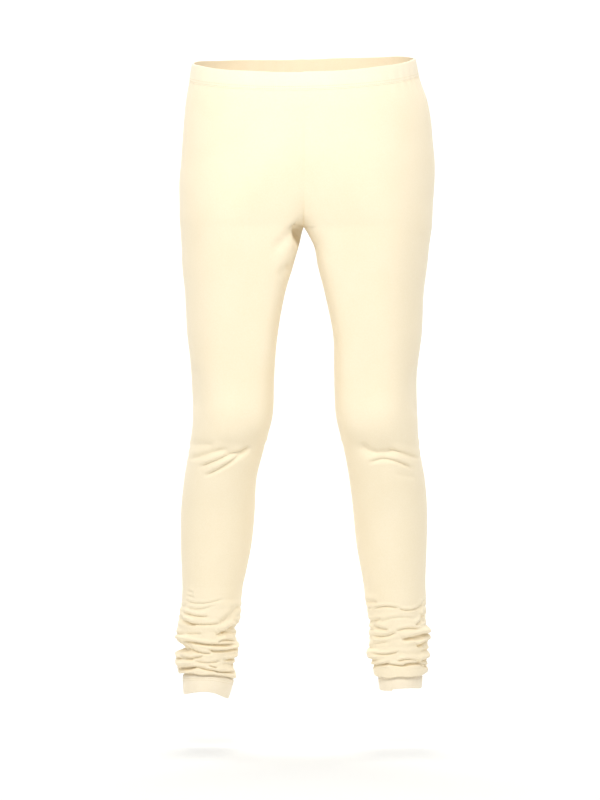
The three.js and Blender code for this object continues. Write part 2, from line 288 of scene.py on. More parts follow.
rightBackCreases = [
    (10, -258, 68, -262, 132, -244, 1.5, 6.0, 0.3),
    (5, -216, 30, -203, 64, -196, 0.9, 5.0, 0.4),
    (62, -536, 110, -542, 156, -534, 2.8, 3.0, 0.6),
    (84, -553, 118, -562, 158, -555, 2.5, 2.8, 0.6),
    (70, -573, 98, -577, 130, -573, 1.2, 3.4, 0.5),
    (96, -786, 136, -779, 176, -787, 1.9, 2.0, 0.5),
    (92, -797, 124, -806, 156, -803, 2.8, 1.9, 0.6),
    (112, -822, 146, -818, 182, -824, 3.5, 1.9, 0.6),
    (96, -835, 130, -838, 162, -833, 4.1, 1.8, 0.6),
    (130, -849, 156, -852, 184, -847, 4.1, 1.8, 0.6),
    (98, -858, 126, -863, 156, -861, 3.8, 1.8, 0.6),
    (108, -876, 144, -871, 182, -878, 4.3, 1.9, 0.6),
]
outerCreases = [
    # startY, startZ, middleY, middleZ, endY, endZ, depth, width, lip
    (-22, -560, 4, -553, 34, -549, 1.2, 3.6, 0.5),
    (-26, -572, 2, -566, 28, -570, 0.9, 3.2, 0.5),
    (-30, -783, -2, -790, 26, -783, 1.2, 2.0, 0.5),
    (-34, -796, -8, -803, 22, -798, 1.6, 2.0, 0.6),
    (-30, -812, 0, -808, 32, -815, 1.9, 2.0, 0.6),
    (-30, -826, 2, -831, 30, -825, 2.3, 2.2, 0.6),
    (-20, -841, 6, -838, 34, -844, 2.3, 2.0, 0.6),
    (-34, -853, -6, -853, 24, -858, 2.1, 2.0, 0.6),
    (-24, -866, 6, -863, 34, -868, 2.5, 2.0, 0.6),
    (-36, -874, -8, -877, 18, -873, 2.5, 2.2, 0.6),
]
innerCreases = [
    (-18, -556, 8, -550, 32, -553, 1.0, 3.6, 0.5),
    (-30, -788, 0, -792, 28, -786, 1.1, 2.0, 0.5),
    (-34, -806, -6, -811, 24, -806, 1.6, 2.0, 0.6),
    (-32, -820, 0, -823, 30, -818, 1.9, 2.2, 0.6),
    (-22, -837, 8, -833, 34, -838, 2.1, 2.0, 0.6),
    (-32, -846, -4, -850, 24, -846, 1.9, 2.0, 0.6),
    (-34, -863, -2, -866, 28, -860, 2.5, 2.0, 0.6),
    (-26, -877, 4, -874, 30, -879, 1.9, 2.0, 0.6),
]

# Soft rises and hollows of a standing leg: reach, height, half width across, half height, rise.
frontForms = [
    (110, -508, 30, 26, 4.0),     # over the knee cap
    (108, -552, 44, 14, -3.6),    # below the knee cap
    (76, -544, 18, 16, -1.5),
    (120, -604, 20, 30, 1.0),
]
backForms = [
    (108, -538, 22, 26, -2.5),    # hollow of the knee
    (98, -650, 18, 60, 1.4),
    (150, -640, 16, 55, 1.2),
]
crotchHollow = {"x": 5, "z": -246, "halfX": 8, "halfZ": 12}

leftLeg = {"name": "left_leg", "side": 1, "outColumn": 1, "inColumn": 2, "phase": 0.0,
           "gathers": leftGathers, "cuff": leftCuff, "outline": leftOutline,
           "front": leftFrontCreases, "back": leftBackCreases, "crotchDip": 0.0}
rightLeg = {"name": "right_leg", "side": -1, "outColumn": 3, "inColumn": 4, "phase": 2.1,
            "gathers": rightGathers, "cuff": rightCuff, "outline": rightOutline,
            "front": rightFrontCreases, "back": rightBackCreases, "crotchDip": 15.0}


def smoothstep(low, high, value):
    t = np.clip((value - low) / (high - low), 0, 1)
    return t * t * (3 - 2 * t)


# A cubic through rising heights and their values, each one's slope taken from its neighbours.
def smoothTable(z, value, height):
    slope = np.concatenate(([0], (value[2:] - value[:-2]) / (z[2:] - z[:-2]), [0]))
    k = np.clip(np.searchsorted(z, height) - 1, 0, len(z) - 2)
    gap = z[k + 1] - z[k]
    t = np.clip((height - z[k]) / gap, 0, 1)
    start = (1 + 2 * t) * (1 - t) ** 2 * value[k] + t * (1 - t) ** 2 * gap * slope[k]
    end = t * t * (3 - 2 * t) * value[k + 1] - t * t * (1 - t) * gap * slope[k + 1]
    return start + end


def alongTable(column, height):
    return smoothTable(sections[::-1, 0], sections[::-1, column], height)


# A point of the face: two half ellipses that meet on the widest line, with the inner quarter of the
# front as a superellipse of the section's power. The angle is 0 at the inner side, a quarter turn at
# the front and half a turn at the outer side.
def facePoint(leg, angle, height):
    out = alongTable(leg["outColumn"], height)
    inner = alongTable(leg["inColumn"], height)
    mid = alongTable(midColumn, height)
    across, forward = np.cos(angle), np.sin(angle)
    power = np.where((across > 0) & (forward > 0), alongTable(powerColumn, height), 2.0)
    reach = (np.abs(across) ** power + np.abs(forward) ** power) ** (-1 / power)
    front, back = alongTable(frontColumn, height), alongTable(backColumn, height)
    depth = np.where(forward > 0, mid - front, back - mid)
    x = (out + inner) / 2 - (out - inner) / 2 * reach * across
    return np.stack((x, mid - depth * reach * forward, height + 0 * angle), -1)


# The outward normal: the cross product of the face's steps round and up.
def faceNormal(leg, angle, height):
    turn, lift = 0.01, 1.0
    around = facePoint(leg, angle + turn, height) - facePoint(leg, angle - turn, height)
    upward = facePoint(leg, angle, height + lift) - facePoint(leg, angle, height - lift)
    normal = np.cross(around, upward)
    return normal / np.linalg.norm(normal, axis=-1, keepdims=True)


# The angle at which a section meets the centre plane, at the front or at the back.
def seamAngle(leg, height, front):
    out = alongTable(leg["outColumn"], height)
    inner = alongTable(leg["inColumn"], height)
    share = np.clip(((out + inner) / 2 - cut["seamGap"] / 2) / ((out - inner) / 2), 0, 1)
    power = alongTable(powerColumn, height) if front else 2.0
    return np.arctan2((1 - share ** power) ** (1 / power), share)


# The waist edge's height: it tilts to one side, rises towards the back and bows down at front and back.
def waistEdge(leg, angle):
    sideways = -np.cos(angle) * leg["side"]
    backwards = -np.sin(angle)
    return (cut["waistMean"] + cut["waistSideTilt"] * sideways
            + cut["waistFrontToBack"] * backwards - cut["waistBow"] * backwards ** 2)


# Four values at the outer side, front, inner side and back, carried round by the first two waves.
def around(four, angle):
    outer, front, inner, back = four
    mean = (outer + front + inner + back) / 4
    cross = (outer + inner - front - back) / 4
    firstWave = (inner - outer) / 2 * np.cos(angle) + (front - back) / 2 * np.sin(angle)
    return mean + firstWave + cross * np.cos(2 * angle)


# A trough's height: its four values carried round, and a small wave of its own.
def trough(leg, k, angle):
    wander = cut["gatherWander"] * np.sin((2 + k % 3) * angle + 1.9 * k + leg["phase"])
    return around(leg["gathers"][k][:4], angle) + wander


# Small folds drawn up by the waist elastic: a wave round the waist whose pitch wanders.
def pucker(leg, angle):
    turns = angle * cut["puckerWaves"] + 1.7 * np.sin(3 * angle + leg["phase"]) + 0.9 * np.sin(7 * angle)
    strength = 0.55 + 0.45 * np.sin(2.3 * angle + 1.3 + leg["phase"])
    return np.sin(turns * 2) * strength


# The small rolls: between two troughs the cloth swells as a sine, fullest below the middle.
def rolls(leg, angle, height):
    push = np.zeros_like(height)
    for k in range(1, len(leg["gathers"])):
        above, below = trough(leg, k - 1, angle), trough(leg, k, angle)
        t = np.clip((above - height) / (above - below), 0, 1)
        uneven = 1 + 0.25 * np.sin(3 * angle + 2.4 * k) + 0.2 * np.sin(5 * angle + 1.1 * k + leg["phase"])
        bulge = np.maximum(around(leg["gathers"][k][4:8], angle), 0.2) * uneven
        push += bulge * np.sin(pi * t ** 1.25) ** 0.75 * (t < 1)
    return push


# The outline's steps at the outer and inner sides, faded out towards the front and back.
def outline(leg, angle, height):
    table = leg["outline"][::-1]
    toSide = np.abs(np.cos(angle)) ** 3
    outer = smoothTable(table[:, 0], table[:, 1], height)
    inner = smoothTable(table[:, 0], table[:, 2], height)
    return toSide * np.where(np.cos(angle) < 0, outer, inner)


# One crease: its depth falls off with distance from a parabola through three points and fades at the
# ends; the cloth above it swells into a lip and sags over it, the cloth below swells less.
def crease(x, z, row):
    startX, startZ, middleX, middleZ, endX, endZ, depth, width, lip = row
    length = np.hypot(endX - startX, endZ - startZ)
    t = np.linspace(0, 1, int(np.clip(4 * length / width, 24, 150)))
    first, middle, last = (1 - t) * (1 - 2 * t), 4 * t * (1 - t), t * (2 * t - 1)
    curveX = startX * first + middleX * middle + endX * last
    curveZ = startZ * first + middleZ * middle + endZ * last
    reach = 6 * width
    near = ((x > curveX.min() - reach) & (x < curveX.max() + reach)
            & (z > curveZ.min() - reach) & (z < curveZ.max() + reach))
    push, sag = np.zeros_like(x), np.zeros_like(x)
    stepX = x[near][:, None] - curveX
    stepZ = z[near][:, None] - curveZ
    apart = np.hypot(stepX, stepZ)
    k = apart.argmin(1)
    distance = apart.min(1)
    above = stepZ[np.arange(len(k)), k] > 0
    fade = smoothstep(0, 0.2, t[k]) * smoothstep(1, 0.8, t[k])
    valley = np.exp(-(distance / width) ** 1.4)
    swell = lip * np.where(above, 1.0, 0.45) * np.exp(-((distance - 2.1 * width) / (1.3 * width)) ** 2)
    push[near] = depth * fade * (swell - valley)
    sagMost = np.minimum(0.35 * depth, 0.6 * width)
    sag[near] = sagMost * fade * above * np.exp(-((distance / width - 1.3) / 0.8) ** 2)
    return push, sag


# How squarely the cloth has to face a view before that view's creases start, and before they are full.
frontFacing, sideFacing = (-0.1, 0.35), (0.55, 0.85)


# The tables' creases, each on its own side of the leg. Those of the front are laid as seen from the
# camera's height, so a point set back from the front by some depth lies lower by that depth times the
# view's slope.
def creases(leg, angle, x, y, z):
    facing, outwards = np.sin(angle), -np.cos(angle)
    push, sag = np.zeros_like(x), np.zeros_like(x)
    slope = (camera["height"] / mm - z) / (camera["distance"] / mm)
    setBack = y - alongTable(frontColumn, z)
    seen = z + slope * setBack
    for toView, limits, across, up, table in ((facing, frontFacing, x, seen, leg["front"]),
                                              (-facing, frontFacing, x, z, leg["back"]),
                                              (outwards, sideFacing, y, z, outerCreases),
                                              (-outwards, sideFacing, y, z, innerCreases)):
        share = smoothstep(*limits, toView)
        for row in table:
            rowPush, rowSag = crease(across, up, row)
            push += share * rowPush
            sag += share * rowSag
    return push, sag


# Soft rises: a two-way bell for each, and one more for the hollow beside the crotch.
def forms(leg, angle, x, z):
    facing = np.sin(angle)
    push = np.zeros_like(x)
    for toView, table in ((facing, frontForms), (-facing, backForms)):
        share = smoothstep(-0.1, 0.4, toView)
        for centreX, centreZ, halfX, halfZ, rise in table:
            push += share * rise * np.exp(-((x - centreX) / halfX) ** 2 - ((z - centreZ) / halfZ) ** 2)
    hollow = crotchHollow
    dip = np.exp(-((x - hollow["x"]) / hollow["halfX"]) ** 2 - ((z - hollow["z"]) / hollow["halfZ"]) ** 2)
    return push - leg["crotchDip"] * (dip * smoothstep(0.1, 0.5, facing))


# The slight slackness of knit on a leg: a few long waves that cross, all under half a millimetre.
def slack(leg, angle, z):
    shift = leg["phase"]
    return (0.25 * np.sin(3 * angle + z / 47 + shift) + 0.2 * np.sin(2 * angle - z / 31 + 2 * shift)
            + 0.12 * np.sin(5 * angle + z / 19 + 3 * shift))


# Edges with one face are marked sharp, so that the wall's rim doesn't bend the shading of the face.
def markOpenEdges(mesh):
    loopEdges = np.zeros(len(mesh.loops), dtype=np.int32)
    mesh.loops.foreach_get("edge_index", loopEdges)
    uses = np.bincount(loopEdges, minlength=len(mesh.edges))
    sharp = mesh.attributes.new("sharp_edge", "BOOLEAN", "EDGE")
    sharp.data.foreach_set("value", uses == 1)


# A mesh from a grid of points. Rows from "closedFrom" down join their last column to their first, and a
# ring joins both its last column and its last row to the first ones.
def gridMesh(name, points, uv, closedFrom=None, ring=False, flip=False):
    rows, columns = points.shape[:2]
    ids = np.arange(rows * columns).reshape(rows, columns)
    if closedFrom is not None:
        ids[closedFrom:, -1] = ids[closedFrom:, 0]
    corners = np.stack((ids[:-1, :-1], ids[1:, :-1], ids[1:, 1:], ids[:-1, 1:]), -1).reshape(-1, 4)
    own = np.arange(rows * columns).reshape(rows, columns)
    uvCorners = np.stack((own[:-1, :-1], own[1:, :-1], own[1:, 1:], own[:-1, 1:]), -1).reshape(-1, 4)
    if flip:
        corners, uvCorners = corners[:, ::-1], uvCorners[:, ::-1]
    if ring:
        ids[-1] = ids[0]
        ids[:, -1] = ids[:, 0]
        corners = ids.reshape(-1)[corners]
    kept, corners = np.unique(corners, return_inverse=True)
    corners = corners.reshape(-1, 4)
    mesh = bpy.data.meshes.new(name)
    mesh.vertices.add(len(kept))
    mesh.vertices.foreach_set("co", (points.reshape(-1, 3)[kept] * mm).astype(np.float32).ravel())
    mesh.loops.add(corners.size)
    mesh.loops.foreach_set("vertex_index", corners.astype(np.int32).ravel())
    mesh.polygons.add(len(corners))
    mesh.polygons.foreach_set("loop_start", np.arange(0, corners.size, 4, dtype=np.int32))
    mesh.update(calc_edges=True)
    layer = mesh.uv_layers.new(name="cloth")
    corneredUv = uv.reshape(-1, 2)[uvCorners.ravel()] * mm
    layer.data.foreach_set("uv", corneredUv.astype(np.float32).ravel())
    mesh.polygons.foreach_set("use_smooth", np.ones(len(corners), dtype=bool))
    markOpenEdges(mesh)
    piece = bpy.data.objects.new(name, mesh)
    bpy.context.collection.objects.link(piece)
    return piece


legMesh = {
    "columns": 152,
    "torsoRows": 60,
    "torsoCrowding": 1.9,   # the rows crowd towards the crotch by this power
    "rowBands": ((-237, 36), (-522, 50), (-604, 16), (-742, 124)),   # from a height down, and its rows
    "cuffRows": 26,
    "flat": (0.55, 1.0),    # the panel's greatest width, by the crotch, and its length along the cloth
    "flatArea": 0.365,      # worn it stretches by some 3%
    "seamDip": 0.15,
    "seamHalf": 1.4,
    "gap": 0.01,        # the seams' edges meet more closely than the solids'
    "shiftEnd": -300.0,     # the columns that start at the centre seam are spread evenly again by here
    "shiftLeast": 0.14,     # the least share of a row over which the start's shift is taken up
    "shiftSpread": 0.32,    # that share for each radian of a larger shift
    "lowWaves": (0.7, 0.4),  # how unevenly the last roll's low edge hangs
    "bulgeWave": 0.15,
    "rollInside": 1.3,      # how far the last roll's inner side stands off
}


# The roll that hangs over the hem: a loop that goes out and down to its low edge, then back up
# inside to the hem's top.
def hangingRoll(leg, angle, t):
    cuff = leg["cuff"]
    top, low, hemTop = trough(leg, -1, angle), around(cuff["low"], angle), around(cuff["hemTop"], angle)
    wave, fineWave = legMesh["lowWaves"]
    low = low + wave * np.sin(5 * angle + leg["phase"]) + fineWave * np.sin(9 * angle + 1)
    down = smoothstep(0, 0.72, t) ** 0.85
    back = smoothstep(0.66, 1, t)
    height = top + (low - top) * down + (hemTop - low) * back
    bulge = around(cuff["bulge"], angle) * (1 + legMesh["bulgeWave"] * np.sin(4 * angle + leg["phase"]))
    push = bulge * np.sin(pi * np.clip(t / 0.8, 0, 1) ** 1.3) ** 0.7
    return height, push + legMesh["rollInside"] * smoothstep(0.45, 0.75, t)


# A leg with its half of the seat. Rows run from the band's seam to the hem; above the crotch a row
# runs from the centre front seam round to the centre back, below it all round from the inseam.
def makeLeg(leg):
    top = -cut["bandHeight"]
    ringAngles = np.linspace(0, 2 * pi, 73)[:-1]
    lastMean = trough(leg, -1, ringAngles).mean()
    k = np.arange(legMesh["torsoRows"], 0, -1) / legMesh["torsoRows"]
    torso = cut["crotch"] + (top - cut["crotch"]) * k ** legMesh["torsoCrowding"]
    starts = [height for height, _ in legMesh["rowBands"]] + [lastMean]
    bands = [np.linspace(starts[i], starts[i + 1], count, endpoint=False)
             for i, (_, count) in enumerate(legMesh["rowBands"])]
    base = np.concatenate((torso, *bands, [lastMean]))[:, None]
    crotchRow, cuffRow = len(torso), len(base)
    base = np.concatenate((base, np.full((legMesh["cuffRows"], 1), lastMean)))

    topShare = smoothstep(cut["levelHeight"], top, base)
    lastShare = smoothstep(cut["gatherTop"], lastMean + 4, base)
    u = np.linspace(0, 1, legMesh["columns"] + 1)[None, :]
    start = seamAngle(leg, base + topShare * waistEdge(leg, pi / 2), True)
    end = 2 * pi - seamAngle(leg, base + topShare * waistEdge(leg, -pi / 2), False)
    carried = smoothstep(legMesh["shiftEnd"], cut["crotch"], base[crotchRow:])
    start[crotchRow:] = start[crotchRow - 1] * carried
    end[crotchRow:] = 2 * pi
    least, spread = legMesh["shiftLeast"], legMesh["shiftSpread"]
    angle = 2 * pi * u + start * (1 - smoothstep(0, np.maximum(least, spread * start), u))
    angle -= (2 * pi - end) * smoothstep(1 - np.maximum(least, spread * (2 * pi - end)), 1, u)
    angle[crotchRow:, 0] = 0
    height = base + topShare * waistEdge(leg, angle) + lastShare * (trough(leg, -1, angle) - lastMean)
    t = np.arange(1, legMesh["cuffRows"] + 1)[:, None] / legMesh["cuffRows"]
    height[cuffRow:], cuffPush = hangingRoll(leg, angle[cuffRow:], t)

    faceShare = np.ones_like(base)
    faceShare[cuffRow:] = smoothstep(0.6, 0.45, t)
    face = facePoint(leg, angle, height)
    face[:crotchRow, [0, -1], 0] = legMesh["gap"]
    normal = faceNormal(leg, angle, height)
    steps = np.linalg.norm(np.diff(face, axis=1), axis=2)
    along = np.concatenate((np.zeros((len(base), 1)), np.cumsum(steps, 1)), 1)
    toSeam = np.minimum(along, along[:, -1:] - along)

    x, y, z = face[..., 0], face[..., 1], face[..., 2]
    outer = slice(0, cuffRow)
    push = np.zeros_like(x)
    push[outer] = rolls(leg, angle[outer], z[outer])
    push += outline(leg, angle, z) + forms(leg, angle, x, z) + slack(leg, angle, z)
    creasePush, sag = creases(leg, angle, x, y, z)
    push += faceShare * creasePush
    push[cuffRow:] += cuffPush
    belowBand = top + waistEdge(leg, angle) - height
    push += cut["puckerBelow"] * pucker(leg, angle) * np.exp(-belowBand / cut["puckerFade"])
    push -= legMesh["seamDip"] * np.exp(-(toSeam / legMesh["seamHalf"]) ** 2)
    points = face + normal * push[..., None]
    points[..., 2] -= faceShare * sag
    points[..., 0] = np.maximum(points[..., 0], legMesh["gap"])
    points[:crotchRow, [0, -1], 0] = legMesh["gap"]
    points[crotchRow:, -1] = points[crotchRow:, 0]

    down = np.linalg.norm(np.diff(points, axis=0), axis=2)
    length = np.concatenate((np.zeros((1, points.shape[1])), np.cumsum(down, 0)), 0)
    uv = np.stack((along - along[:, -1:] / 2, -length), -1)
    points[..., 0] *= leg["side"]
    piece = gridMesh(leg["name"] + "_jersey", points, uv, closedFrom=crotchRow, flip=leg["side"] < 0)
    wall = piece.modifiers.new("wall", "SOLIDIFY")
    wall.thickness = cut["clothThick"] * mm
    wall.offset = -1
    wall.use_even_offset = False
    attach(piece, "root")
    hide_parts(leg["name"])
    piece.data.materials.append(jersey)


bandShape = {
    "stations": 300,        # for each side
    "corners": 44,
    "wall": 3.0,
    "crown": 0.2,
    "squareness": 12.0,
    "edgeWave": 0.35,
    "rows": (20.5, 24.0),   # the casing's two rows of stitches, down from the edge
    "rowDip": 0.18,
    "rowHalf": 0.9,
    "flat": (0.81, 0.0285),  # the strip's outer half with half of both rims; worn it stretches by some 8%
}


# A ring's wall: a squared oval carried round a face, with its crown outwards.
def wallOutline(height, wall, count, squareness):
    t = np.linspace(0, 2 * pi, count + 1)
    out = np.sign(np.cos(t)) * np.abs(np.cos(t)) ** (2 / squareness) * wall / 2 - wall / 2
    down = height / 2 - np.sign(np.sin(t)) * np.abs(np.sin(t)) ** (2 / squareness) * height / 2
    return out, down


# 1 on a ring's outer face and 0 inside it, easing over its rims.
def outerShare(out, wall):
    return smoothstep(-wall * 0.6, -0.2, out)


# The lines of points on a ring's outer wall at some distances down its profile, and the wall's normals
# there: the cross product of the line's steps and the wall's.
def stitchLines(points, down, out, rows):
    outside = np.flatnonzero(out > out.max() - 0.2)
    found = []
    for row in rows:
        k = outside[np.abs(down[outside] - row).argmin()]
        nearer = k + (1 if down[k + 1] > down[k] else -1) * (1 if row > down[k] else -1)
        share = np.clip((row - down[k]) / (down[nearer] - down[k]), 0, 1)
        line = points[:, k] + share * (points[:, nearer] - points[:, k])
        ahead = np.roll(line, -1, axis=0) - np.roll(line, 1, axis=0)
        ahead[0] = ahead[-1] = line[1] - line[-2]
        upward = points[:, k - 1] - points[:, k + 1]
        normal = np.cross(ahead, upward)
        normal = normal / np.linalg.norm(normal, axis=1, keepdims=True)
        centre = line.mean(0)
        normal *= np.sign(((line - centre) * normal)[:, :2].sum())
        found.append((line, normal))
    return found


# How far round a ring each of its profiles is.
def ringLength(points):
    steps = np.linalg.norm(np.diff(points[:, :1], axis=0), axis=2)
    return np.concatenate((np.zeros((1, 1)), np.cumsum(steps, 0)))


# The casing: a ring's wall carried round the face of both sides, hung from the waist edge.
def makeWaistband():
    count = bandShape["stations"]
    side = np.linspace(0, 1, count + 1)[:-1] * pi
    out, down = wallOutline(cut["bandHeight"], bandShape["wall"], bandShape["corners"],
                            bandShape["squareness"])
    outside = outerShare(out, bandShape["wall"])
    parts = []
    for leg, angle in ((leftLeg, pi / 2 + side), (rightLeg, 3 * pi / 2 - side)):
        angle = angle[:, None]
        height = waistEdge(leg, angle) - down
        face = facePoint(leg, angle, height)
        normal = faceNormal(leg, angle, height)
        normal[..., 2] = 0
        share = np.clip(down / cut["bandHeight"], 0, 1)
        push = out + outside * bandShape["crown"] * np.sin(pi * share) ** 0.7
        push = push + cut["puckerOnBand"] * pucker(leg, angle) * smoothstep(2, 14, down)
        for row in bandShape["rows"]:
            sewn = np.exp(-((down - row) / bandShape["rowHalf"]) ** 2)
            push = push - bandShape["rowDip"] * outside * sewn
        points = face + normal * push[..., None]
        points[..., 2] += bandShape["edgeWave"] * np.sin(9 * angle + leg["phase"]) * smoothstep(8, 0, down)
        points[..., 0] *= leg["side"]
        parts.append(points)
    points = np.concatenate(parts)
    points = np.concatenate((points, points[:1]))
    along = ringLength(points)
    girth = np.concatenate(([0], np.cumsum(np.hypot(np.diff(out), np.diff(down)))))
    uv = np.stack((along + 0 * girth, -girth + 0 * along), -1)
    piece = gridMesh("waistband_casing", points, uv, ring=True)
    piece.data.materials.append(casingJersey)
    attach(piece, "root")
    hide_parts("waistband")
    lines = stitchLines(points, down, out, bandShape["rows"])
    stitches = makeStitches("waistband_stitches", lines)


stitch = {
    "pitch": 3.2,
    "length": 2.7,
    "width": 0.6,
    "height": 0.36,
    "sunk": 0.12,
    "near": 0.8,        # the line's direction is taken between points this far before and after
    "rings": (0.45, 0.9, 1.0, 0.9, 0.45),     # the thread's girth along a stitch
    "sides": 6,
}


# The points of a line at some lengths along it.
def pointsAlong(places, along, line):
    return np.stack([np.interp(places, along, line[:, i]) for i in range(3)], -1)


# Stitches along closed lines: each is a short pillow, its rings of points carried along the line's
# direction, lying on the surface across its normal.
def makeStitches(name, lines):
    centres, ahead, outwards = [], [], []
    for line, normal in lines:
        steps = np.linalg.norm(np.diff(line, axis=0), axis=1)
        along = np.concatenate(([0], np.cumsum(steps)))
        count = int(along[-1] / stitch["pitch"])
        places = (np.arange(count) + 0.5) / count * along[-1]
        centres.append(pointsAlong(places, along, line))
        ahead.append(pointsAlong(places + stitch["near"], along, line)
                     - pointsAlong(places - stitch["near"], along, line))
        outwards.append(pointsAlong(places, along, normal))
    centre, forward, out = (np.concatenate(part) for part in (centres, ahead, outwards))
    forward = forward / np.linalg.norm(forward, axis=1, keepdims=True)
    sideways = np.cross(out, forward)
    sideways = sideways / np.linalg.norm(sideways, axis=1, keepdims=True)
    out = np.cross(forward, sideways)
    rings, sides = len(stitch["rings"]), stitch["sides"]
    girth = np.array(stitch["rings"])[:, None]
    along = (np.linspace(-0.5, 0.5, rings) * stitch["length"])[:, None]
    turn = (2 * pi * np.arange(sides) / sides)[None, :]
    shape = (along + 0 * turn, girth * np.cos(turn) * stitch["width"] / 2,
             girth * (1 + np.sin(turn)) * stitch["height"] / 2 - stitch["sunk"])
    points = centre[:, None, None, :] + sum(part[None, ..., None] * axis[:, None, None, :]
                                            for part, axis in zip(shape, (forward, sideways, out)))
    ids = np.arange(rings * sides).reshape(rings, sides)
    following = np.roll(ids, -1, axis=1)
    quads = np.stack((ids[:-1], following[:-1], following[1:], ids[1:]), -1).reshape(-1, 4)
    caps = np.stack((ids[0, ::-1], ids[-1]))
    first = (rings * sides * np.arange(len(centre)))[:, None]
    corners = np.concatenate(((first[..., None] + quads).ravel(), (first[..., None] + caps).ravel()))
    starts = np.concatenate((np.arange(0, len(centre) * quads.size, 4),
                             len(centre) * quads.size + np.arange(0, len(centre) * caps.size, sides)))
    mesh = bpy.data.meshes.new(name)
    mesh.vertices.add(len(centre) * rings * sides)
    mesh.vertices.foreach_set("co", (points * mm).astype(np.float32).ravel())
    mesh.loops.add(len(corners))
    mesh.loops.foreach_set("vertex_index", corners.astype(np.int32))
    mesh.polygons.add(len(starts))
    mesh.polygons.foreach_set("loop_start", starts.astype(np.int32))
    mesh.update(calc_edges=True)
    mesh.polygons.foreach_set("use_smooth", np.ones(len(starts), dtype=bool))
    piece = bpy.data.objects.new(name, mesh)
    bpy.context.collection.objects.link(piece)
    piece.data.materials.append(cottonThread)
    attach(piece, "root")
    return piece


hemShape = {
    "stations": 320,
    "corners": 44,
    "wall": 2.3,
    "crown": 0.3,
    "squareness": 4.5,
    "standOff": 0.4,
    "edgeWave": 0.4,
    "flare": (0.5, 0.3),     # how unevenly its lower part stands off
    "tuck": 2.6,             # how far it is drawn in under the last roll
    "rows": (19.0, 22.0),    # the coverstitch's two rows, up from the edge
    "rowDip": 0.2,
    "rowHalf": 0.8,
    "press": 3.6,            # a pressed line above the edge
    "pressDip": 0.25,
    "pressHalf": 0.7,
    "sideShift": 40,         # sets the knit of the inner face apart from that of the outer
    "flat": (0.245, 0.032),  # the turning's outer half, the mean of both hems' rounds and heights
}


# The hem's free edge, which waves a little and hangs lower from its inner side to the step.
def hemEdge(leg, angle):
    cuff = leg["cuff"]
    edge = around(cuff["hemEdge"], angle) + hemShape["edgeWave"] * np.sin(4 * angle + leg["phase"])
    return edge - cuff["step"] * smoothstep(1.17, 1.07, angle) * smoothstep(0, 0.3, angle)


# A turned hem: a ring's wall carried round the leg's face, from the hem's top to its free edge, drawn in
# where the last roll covers it.
def makeHem(leg):
    angle = np.linspace(0, 2 * pi, hemShape["stations"] + 1)[:, None]
    out, share = wallOutline(1.0, hemShape["wall"], hemShape["corners"], hemShape["squareness"])
    edge, hemTop = hemEdge(leg, angle), around(leg["cuff"]["hemTop"], angle)
    up = (hemTop - edge) * (1 - share)
    height = edge + up
    outside = outerShare(out, hemShape["wall"])
    push = out + hemShape["standOff"] + outside * hemShape["crown"] * np.sin(pi * np.clip(share, 0, 1))
    wave, fineWave = hemShape["flare"]
    flare = wave * np.sin(3 * angle + leg["phase"]) + fineWave * np.sin(7 * angle + 1)
    push = push + flare * smoothstep(0.2, 1, share)
    covered = (hemTop - around(leg["cuff"]["low"], angle)) / (hemTop - edge)
    push = push - hemShape["tuck"] * smoothstep(covered + 0.12, covered - 0.02, share)
    for row in hemShape["rows"]:
        push = push - hemShape["rowDip"] * outside * np.exp(-((up - row) / hemShape["rowHalf"]) ** 2)
    pressed = np.exp(-((up - hemShape["press"]) / hemShape["pressHalf"]) ** 2)
    push = push - hemShape["pressDip"] * outside * pressed
    points = facePoint(leg, angle, height) + faceNormal(leg, angle, height) * push[..., None]
    along = ringLength(points)
    shift = np.sign(out + hemShape["wall"] / 2) * hemShape["sideShift"]
    uv = np.stack((along + 0 * up, up + shift), -1)
    points[..., 0] *= leg["side"]
    name = leg["name"].replace("leg", "hem")
    piece = gridMesh(name + "_turned", points, uv, ring=True, flip=leg["side"] < 0)
    piece.data.materials.append(turnedJersey)
    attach(piece, "root")
    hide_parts(name)
    lines = stitchLines(points, up.mean(0), out, hemShape["rows"])
    stitches = makeStitches(name + "_stitches", lines)


def linearColor(hexValue):
    value = np.array([int(hexValue[i:i + 2], 16) for i in (1, 3, 5)]) / 255
    linear = np.where(value <= 0.04045, value / 12.92, ((value + 0.055) / 1.055) ** 2.4)
    return (*linear, 1.0)


# Adds a node with its settings and its links, given as input name to value or to another node's output.
# An input can also be given as i and its number.
def addNode(tree, kind, settings=None, **inputs):
    node = tree.nodes.new(kind)
    for key, value in (settings or {}).items():
        setattr(node, key, value)
    for key, value in inputs.items():
        socket = node.inputs[int(key[1:])] if key[1:].isdigit() else node.inputs[key.replace("_", " ")]
        if isinstance(value, bpy.types.NodeSocket):
            tree.links.new(value, socket)
        else:
            socket.default_value = value
    return node


def mathNode(tree, operation, *values):
    inputs = {"i%d" % i: value for i, value in enumerate(values)}
    return addNode(tree, "ShaderNodeMath", {"operation": operation}, **inputs).outputs[0]


def noiseNode(tree, place, size, detail):
    return addNode(tree, "ShaderNodeTexNoise", Vector=place, Scale=1 / (size * mm), Detail=detail).outputs[0]


def mixColors(tree, share, first, second):
    mix = addNode(tree, "ShaderNodeMix", {"data_type": "RGBA"}, i0=share)
    mix.inputs[6].default_value = linearColor(first)
    mix.inputs[7].default_value = linearColor(second)
    return mix


